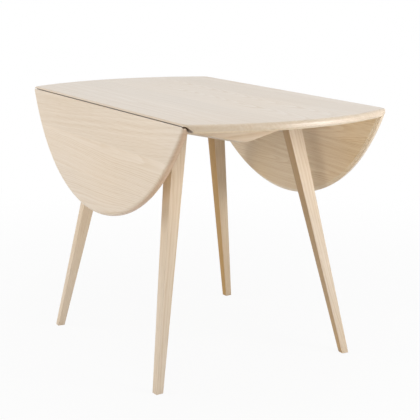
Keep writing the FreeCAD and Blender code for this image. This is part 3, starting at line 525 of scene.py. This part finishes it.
# tones that multiply the wood's colour
RAW_TONE = "#FDFBF0"                     # lacquered without the white
FACE_SHEEN_TONE = "#F9FBFF"                    # painted sheen: the upper faces a little greyer and cooler, like a white reflection
JOINT_SHADE_TONE = "#6B5540"                   # painted shade in the joint between top and leaf
RIM_SHADE_TONE = "#F4E0CE"                     # painted shade where the rim turns from the light
INNER_SHADE_TONE = "#E1CFB2"                   # painted shade on the legs' inner sides


def laid(along, through, centre, start):
    """Turn and shift that bring the pattern's X along the grain and its Z through the board.

    The centre gets the pattern's coordinates start."""
    along = Vector(along).normalized()
    across = Vector(through).cross(along).normalized()
    turn = Matrix((along, across, along.cross(across)))
    return turn.to_euler(), Vector(start) - turn @ Vector(centre)


def looking(tree, normal, way, low, high):
    """From 0 to 1 while the cosine between a face's normal and the way goes from low to high."""
    cosine = add(tree, "VectorMath", (normal, way), operation="DOT_PRODUCT")["Value"]
    return add(tree, "MapRange", {0: cosine, "From Min": low, "From Max": high})[0]


def grain_noises(tree, place):
    """Noises by name, with so many lumps to the metre along the grain, across and through."""
    noise = {}
    for kind, lumps, detail in (
        ("drift", (1.8, 2, 2), 1),        # the grain leaves the board's line by some 10 mm
        ("quick", (7, 40, 40), 2),        # and wavers by a ring
        ("streak", (2.5, 210, 210), 2),   # darker fibre, a few millimetres across
        ("fibre", (22, 620, 620), 3),     # fibres and pores, a millimetre across and 30 mm long
        ("cloud", (2, 9, 9), 1),          # paler and darker patches
    ):
        stretched = add(tree, "Mapping", {"Vector": place, "Scale": lumps})[0]
        noise[kind] = add(tree, "TexNoise", {"Vector": stretched, "Scale": 1, "Detail": detail})
    return noise


def board_by_board(tree, across, ranges):
    """The number of the board, and by name a value in each range that is its own."""
    index = add(tree, "Math", (across, BOARD), operation="DIVIDE")[0]
    index = add(tree, "Math", (index,), operation="FLOOR")[0]
    chance = add(tree, "TexWhiteNoise", {"W": index}, noise_dimensions="1D")
    odds = add(tree, "SeparateXYZ", (chance["Color"],))
    shares = (odds[0], odds[1], odds[2], chance["Value"], chance["Value"])
    own = {}
    for (kind, (low, high)), share in zip(ranges.items(), shares):
        values = (share, float(high - low), float(low))
        own[kind] = add(tree, "Math", values, operation="MULTIPLY_ADD")[0]
    return index, own


def ring_count(tree, axes, noise, index, own):
    """Growth rings between a place and its board's pith: their distance over RING, and a waver.

    Across and through the board, that distance is the place less the pith's, plus what the
    pith slopes along the grain and what it wanders."""
    drift = add(tree, "SeparateXYZ", (noise["drift"]["Color"],))
    across_steps = (index, -BOARD), (own["beside"], -1), (own["run_out"], axes[0])
    through_steps = (own["behind"], 1), (own["tilt"], axes[0])
    square = 0
    for total, steps, wander in (
        (axes[1], across_steps, (drift[0], DRIFT[0])),
        (axes[2], through_steps, (drift[1], DRIFT[1])),
    ):
        for step in (*steps, wander):
            total = add(tree, "Math", (*step, total), operation="MULTIPLY_ADD")[0]
        square = add(tree, "Math", (total, total, square), operation="MULTIPLY_ADD")[0]
    radius = add(tree, "Math", (square,), operation="SQRT")[0]
    rings = add(tree, "Math", (radius, RING), operation="DIVIDE")[0]
    return add(tree, "Math", (noise["quick"][0], WAVER, rings), operation="MULTIPLY_ADD")[0]


def early_wood(tree, rings):
    """One where a year's wood begins, falling to 0 in its late wood, ring after ring."""
    phase = add(tree, "Math", (rings,), operation="FRACT")[0]
    early = add(tree, "ValToRGB", (phase,))[0]
    stops = ((0, 1), (0.2, 0.8), (0.5, 0.3), (0.85, 0), (1, 1))
    ramp = early.node.color_ramp.elements
    while len(ramp) < len(stops):
        ramp.new(0.5)
    for element, (position, grey) in zip(ramp, stops):
        element.position = position
        element.color = (grey, grey, grey, 1)
    return early


def ash(name, along, through, centre, start, beside=(-100, 100), behind=(20, 64),
        coat=0.6, gloss=0.5, contrast=0.55, shade=(0.91, 0.96), warmth=0.75,
        raw_back=True, toned=(), joint_shade=None):
    """Whitened ash under a satin clear lacquer: pale, low contrast, ring-porous.

    The pattern is solid.  Its X runs along the grain, Y across the boards, Z through them.
    Each board has its own pith, so many millimetres beside its middle and behind its face
    and tilted a little along it, and the growth rings are cylinders about the pith; a
    saw-tooth of the distance gives the coarse early wood and the smooth late wood.  A raw
    back is lacquered without the white, and lightened as painted fill light.  Toned lists
    ways that a face may look, the cosines between which it takes a tone, and the tone.
    The joint's painted shade comes in between two given distances from the middle of the
    table."""
    made, tree, shader = material(name)
    coordinates = add(tree, "TexCoord")
    turn, shift = laid(along, through, centre, start)
    place = add(tree, "Mapping", {
        "Vector": coordinates["Object"], "Location": shift, "Rotation": turn,
    })[0]
    axes = add(tree, "SeparateXYZ", (place,))
    noise = grain_noises(tree, place)
    index, own = board_by_board(tree, axes[1], {
        "beside": np.multiply(beside, MM) + BOARD / 2, "behind": np.multiply(behind, MM),
        "tilt": TILT, "run_out": RUN_OUT, "shade": shade,
    })
    rings = ring_count(tree, axes, noise, index, own)
    early = early_wood(tree, rings)

    # some rings are broad and dark and others hardly show
    year = add(tree, "TexNoise", {"W": rings, "Scale": 0.37}, noise_dimensions="1D")[0]
    year = add(tree, "MapRange", {0: year, "From Min": 0.3, "From Max": 0.7, "To Min": 0.1})[0]
    streak = add(tree, "MapRange", {0: noise["streak"][0], "From Min": 0.3, "From Max": 0.7})[0]
    pore = add(tree, "MapRange", {0: noise["fibre"][0], "From Min": 0.54, "From Max": 0.7})[0]
    pore = add(tree, "Math", (pore, early), operation="MULTIPLY")[0]
    # the rings darken the wood most, then the pores in them, streaks and fine fibre
    dark = 0
    for one, other in ((early, year), (pore, 0.5), (streak, 0.4), (noise["fibre"][0], 0.4)):
        dark = add(tree, "Math", (one, other, dark), operation="MULTIPLY_ADD")[0]
    dark = add(tree, "Math", (dark, contrast), operation="MULTIPLY")[0]
    cloud = noise["cloud"][0]
    value = add(tree, "Math", (cloud, 0.07, own["shade"]), operation="MULTIPLY_ADD")[0]

    tones = []
    if raw_back:
        raw = looking(tree, coordinates["Normal"], -Vector(through), 0.6, 0.9)
        stronger = add(tree, "Math", (raw, 0.3, 1), operation="MULTIPLY_ADD")[0]
        dark = add(tree, "Math", (dark, stronger), operation="MULTIPLY")[0]
        # painted fill light: the raw back, turned from the lamps, is lightened
        value = add(tree, "Math", (raw, 0.24, value), operation="MULTIPLY_ADD")[0]
        tones.append((raw, RAW_TONE))
    for way, low, high, tone in toned:
        tones.append((looking(tree, coordinates["Normal"], way, low, high), tone))
    # painted shade down in the joint, by the distance from the middle
    if joint_shade:
        unshaded, full = joint_shade
        out = add(tree, "SeparateXYZ", (coordinates["Object"],))[1]
        out = add(tree, "Math", (out,), operation="ABSOLUTE")[0]
        share = add(tree, "MapRange", {0: out, "From Min": unshaded, "From Max": full})[0]
        tones.append((share, JOINT_SHADE_TONE))
    wood = add(tree, "Mix", {
        "Factor": dark, 6: linear(LATE_WOOD), 7: linear(EARLY_WOOD),
    }, data_type="RGBA")[2]
    for share, tone in tones:
        wood = add(tree, "Mix", {
            "Factor": share, 6: wood, 7: linear(tone),
        }, data_type="RGBA", blend_type="MULTIPLY")[2]
    # a board is warmer in some places than in others
    warm = add(tree, "Math", (noise["drift"][0], 0.5, warmth), operation="MULTIPLY_ADD")[0]
    wood = add(tree, "HueSaturation", {"Color": wood, "Value": value, "Saturation": warm})[0]

    rough = add(tree, "Math", (early, 0.08, 0.42), operation="MULTIPLY_ADD")[0]
    sunk = add(tree, "Math", (pore, 0.7, noise["fibre"][0]), operation="MULTIPLY_ADD")[0]
    bump = add(tree, "Bump", {
        "Height": sunk, "Strength": 0.3, "Distance": PORE_DEPTH,
    }, invert=True)[0]
    tree.links.new(wood, shader.inputs["Base Color"])
    tree.links.new(rough, shader.inputs["Roughness"])
    tree.links.new(bump, shader.inputs["Normal"])
    shader.inputs["IOR"].default_value = 1.5
    shader.inputs["Specular IOR Level"].default_value = gloss
    shader.inputs["Coat Weight"].default_value = coat
    shader.inputs["Coat Roughness"].default_value = 0.3
    return made


# ------------------------------------------------------------------------- metals

CLOUDS = 140                             # to the metre, about 7 mm each


def plated(name, bright, dull, roughness):
    """Plated or rubbed metal: a mirror-like colour, clouded where it has been handled."""
    made, tree, shader = material(name)
    place = add(tree, "TexCoord")["Object"]
    cloud = add(tree, "TexNoise", {"Vector": place, "Scale": CLOUDS, "Detail": 3})[0]
    mixed = add(tree, "Mix", {
        "Factor": cloud, 6: linear(bright), 7: linear(dull),
    }, data_type="RGBA")[2]
    rough = add(tree, "Math", (cloud, 0.15, roughness), operation="MULTIPLY_ADD")[0]
    tree.links.new(mixed, shader.inputs["Base Color"])
    tree.links.new(rough, shader.inputs["Roughness"])
    shader.inputs["Metallic"].default_value = 1
    return made


# ---------------------------------------------------------------------- the table

def dress(piece, finish, body, node):
    """Gives a piece its finish, and says what it rides on and which node it replaces."""
    piece.data.materials.append(finish)
    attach(piece, body)
    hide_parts(node)


def bevel_facing(side):
    """The way that the bevel of the top looks at a hinge line."""
    return Vector((0, side * math.cos(DROP / 2), -math.sin(DROP / 2)))


FLAT = (0.85, 0.95)                      # cosines that part a flat from the rounds beside it
RIM_FACING = Vector((0.87, 0, -0.5))     # out and down at the rim's right half
SHADED_RIM = {                             # painted shade on the front leaf's rim, turned from the light
    "front": [(RIM_FACING, 0.35, 0.85, RIM_SHADE_TONE)],
    "back": [],
}

top_ash = ash(
    "ash_top", ALONG_X, UP, (0, 0, HEIGHT), (0.4, 2.5 * BOARD, 0), shade=(0.88, 0.93),
    toned=[
        # painted sheen on the upper faces
        (UP, 0.9, 1.0, FACE_SHEEN_TONE),
        # painted shade on the bevels in the joint
        *((bevel_facing(side), *FLAT, JOINT_SHADE_TONE) for side in SIDES.values()),
    ],
    joint_shade=(PIVOT_Y + 0.91 * BEAD, PIVOT_Y + 1.02 * BEAD),   # where the bead turns down: painted shade in the joint
)
dress(centre_top(), top_ash, "frame", "centre_top")

for side_name, side in SIDES.items():
    outward = Vector((0, side * math.sin(DROP), math.cos(DROP)))
    at_hinge = Vector((0, side * PIVOT_Y, PIVOT_Z)) + outward * (HEIGHT - PIVOT_Z)
    leaf_ash = ash(
        f"ash_leaf_{side_name}", ALONG_X, outward, at_hinge, (0.2 * side, 19 * BOARD, 0),
        # painted shade on the bevel in the joint, and on the front leaf's rim
        toned=[(-bevel_facing(side), *FLAT, JOINT_SHADE_TONE), *SHADED_RIM[side_name]],
    )
    dress(leaf(side_name, side), leaf_ash, f"{side_name}_leaf", f"leaf_{side_name}")

LEG_FINISH = {                           # legs and rails are matt, and white on every side
    "coat": 0, "gloss": 0.12, "contrast": 0.5, "shade": (0.96, 1.02), "raw_back": False,
}
LEG_WARMTH_AND_SHADE = {                           # each leg is of another board, and the back left one is warmed as painted warm shade
    "front_left": 0.74, "front_right": 0.7, "back_left": 0.9, "back_right": 0.7,
}

for end_name, end in ENDS.items():
    rail_ash = ash(
        f"ash_end_rail_{end_name}", ALONG_Y, (end, 0, 0), (end * 0.25, 0, UNDER),
        (end * 1.3, (0.5 + 0.4 * end) * BOARD, 0), behind=(60, 90), **LEG_FINISH,
    )
    rail = end_rail(f"end_rail_board_{end_name}", end)
    dress(rail, rail_ash, "frame", f"end_rail_{end_name}")
    for side_name, side in SIDES.items():
        tag = f"{side_name}_{end_name}"
        foot = Vector((end * LEG_FOOT[0], side * LEG_FOOT[1], 0))
        head = Vector((end * LEG_TOP[0], side * LEG_TOP[1], UNDER))
        leg_ash = ash(
            f"ash_leg_{tag}", head - foot, (end, 0, 0), foot,
            (0.3 * side + 0.7 * end, 0.5 * BOARD, 0), beside=(50, 90), behind=(60, 90),
            # the inner sides take painted shade
            warmth=LEG_WARMTH_AND_SHADE[tag], toned=[((0, -side, 0), 0.8, 0.95, INNER_SHADE_TONE)],
            **LEG_FINISH,
        )
        dress(leg(f"leg_post_{tag}", end, side), leg_ash, "frame", f"leg_{tag}")

inner_ash = ash(
    "ash_inner", ALONG_X, UP, (0, 0, 0), (0.4, 0.1, 0), behind=(60, 160), **LEG_FINISH,
)
zinc = plated("zinc_plated_steel", "#C8CACB", "#9A9C9C", 0.28)
brass = plated("brass", "#C9A658", "#8F7136", 0.3)
finishes = {"ash": inner_ash, "zinc_steel": zinc, "brass": brass}
slots = {part["node"]: part["material_slot"] for part in frame["record"]["subparts"]}
for name, piece in frame["nodes"].items():
    if piece.hide_render:
        continue
    for place in piece.material_slots:
        place.material = finishes[slots[name]]


# -------------------------------------------------------------- floor and lights

WHITE = "#FFFFFF"
FLOOR_PAINT = "#D4D4D4"
FLOOR_HALF = 12.0
SHADOWED = 0.93                          # share of plain white in the floor under the table
SHADE_START, SHADE_END = 0.5, 2.4        # from the middle; past the end it is all plain white
SOFT_LIGHT = 0.25                        # strength of the even light from all round


def seen_directly(tree):
    """One for what the camera sees, also in a gloss or through glass."""
    path = add(tree, "LightPath")
    seen = add(tree, "Math", (path["Is Camera Ray"], path["Is Glossy Ray"]), operation="MAXIMUM")
    return add(tree, "Math", (seen[0], path["Is Transmission Ray"]), operation="MAXIMUM")[0]


def floor():
    """A wide white floor.  The camera sees it nearly plain white, and quite so past the table."""
    grid = np.linspace(-FLOOR_HALF, FLOOR_HALF, 3)
    piece = surface("floor", [stack(grid[None, :], grid[:, None], 0.0)])
    made, tree, shader = material("white_floor")
    seen = seen_directly(tree)
    place = add(tree, "TexCoord")["Object"]
    away = add(tree, "VectorMath", (place,), operation="LENGTH")["Value"]
    plain = add(tree, "MapRange", {
        0: away, "From Min": SHADE_START, "From Max": SHADE_END, "To Min": SHADOWED,
    }, interpolation_type="SMOOTHSTEP")[0]
    shader.inputs["Base Color"].default_value = linear(FLOOR_PAINT)
    shader.inputs["Roughness"].default_value = 0.9
    white = add(tree, "Emission", {"Color": linear(WHITE), "Strength": 1})[0]
    share = add(tree, "Math", (seen, plain), operation="MULTIPLY")[0]
    mixed = add(tree, "MixShader", (share, shader.outputs[0], white))[0]
    tree.links.new(mixed, tree.nodes["Material Output"].inputs["Surface"])
    piece.data.materials.append(made)


def world():
    """White to the camera and in reflections, and a soft even light elsewhere."""
    made = bpy.data.worlds.new("studio")
    made.use_nodes = True
    tree = made.node_tree
    tree.nodes.clear()
    seen = seen_directly(tree)
    soft = add(tree, "Background", {"Color": linear(WHITE), "Strength": SOFT_LIGHT})[0]
    white = add(tree, "Background", {"Color": linear(WHITE), "Strength": 1})[0]
    add(tree, "OutputWorld", add(tree, "MixShader", (seen, soft, white)))
    bpy.context.scene.world = made


def softbox(name, place, aim, width, height, watts):
    """A rectangular lamp that looks at the aim and isn't seen itself."""
    lamp = bpy.data.lights.new(name, "AREA")
    lamp.shape = "RECTANGLE"
    lamp.size, lamp.size_y = width, height
    lamp.energy = watts
    piece = bpy.data.objects.new(name, lamp)
    bpy.context.scene.collection.objects.link(piece)
    piece.location = place
    piece.visible_camera = False
    piece.rotation_euler = (Vector(aim) - Vector(place)).to_track_quat("-Z", "Y").to_euler()


# ------------------------------------------------------------------------- camera

AZIMUTH = math.radians(59.11)
ELEVATION = math.radians(12.90)
ROLL = math.radians(0.17)
DISTANCE = 3283.5 * MM
AIM_HEIGHT = 416.67 * MM
AIM_RIGHT = 39.63 * MM
AIM_UP = -10.22 * MM
LENS = 93.307
SENSOR = 36


def camera():
    """Stands at AZIMUTH from -Y towards +X, and looks a little right of the table's middle."""
    back = Vector((
        math.sin(AZIMUTH) * math.cos(ELEVATION),
        -math.cos(AZIMUTH) * math.cos(ELEVATION),
        math.sin(ELEVATION),
    ))
    right = Vector((math.cos(AZIMUTH), math.sin(AZIMUTH), 0))
    up = back.cross(right)
    aim = Vector((0, 0, AIM_HEIGHT)) + right * AIM_RIGHT + up * AIM_UP
    tilted_right = right * math.cos(ROLL) + up * math.sin(ROLL)
    tilted_up = up * math.cos(ROLL) - right * math.sin(ROLL)
    eye = bpy.data.cameras.new("camera")
    eye.lens = LENS
    eye.sensor_width = SENSOR
    piece = bpy.data.objects.new("camera", eye)
    bpy.context.scene.collection.objects.link(piece)
    matrix = piece.matrix_world.to_3x3()
    matrix.col[0], matrix.col[1], matrix.col[2] = tilted_right, tilted_up, back
    piece.matrix_world = matrix.to_4x4()
    piece.location = aim + back * DISTANCE
    bpy.context.scene.camera = piece


floor()
world()

MIDDLE = (0, 0, 0.5)
RIGHT_END = (0.2, 0.1, 0.6)
TOP_MIDDLE = (0, 0, HEIGHT)
for lamp_name, place, aim, width, height, watts in (
    ("overhead_softbox", (0, 0, 3.0), MIDDLE, 2.0, 2.0, 20.8),
    ("high_softbox", (-0.6, -2.4, 2.2), MIDDLE, 1.5, 1.5, 9),
    ("left_softbox", (-1.6, -2.6, 1.2), MIDDLE, 1.5, 1.5, 30),
    ("front_softbox", (1.6, -2.2, 0.6), MIDDLE, 1.5, 1.0, 15),
    ("right_softbox", (1.7, 0.9, 1.0), RIGHT_END, 0.8, 0.8, 14.5),
    ("edge_softbox", (1.25, 0.8, 0.7), RIGHT_END, 0.6, 0.5, 2.2),
    ("back_softbox", (-2.2, 1.3, 2.3), TOP_MIDDLE, 2.4, 1.2, 6),
):
    softbox(lamp_name, place, aim, width, height, watts)
camera()

scene = bpy.context.scene
scene.view_settings.view_transform = "Standard"
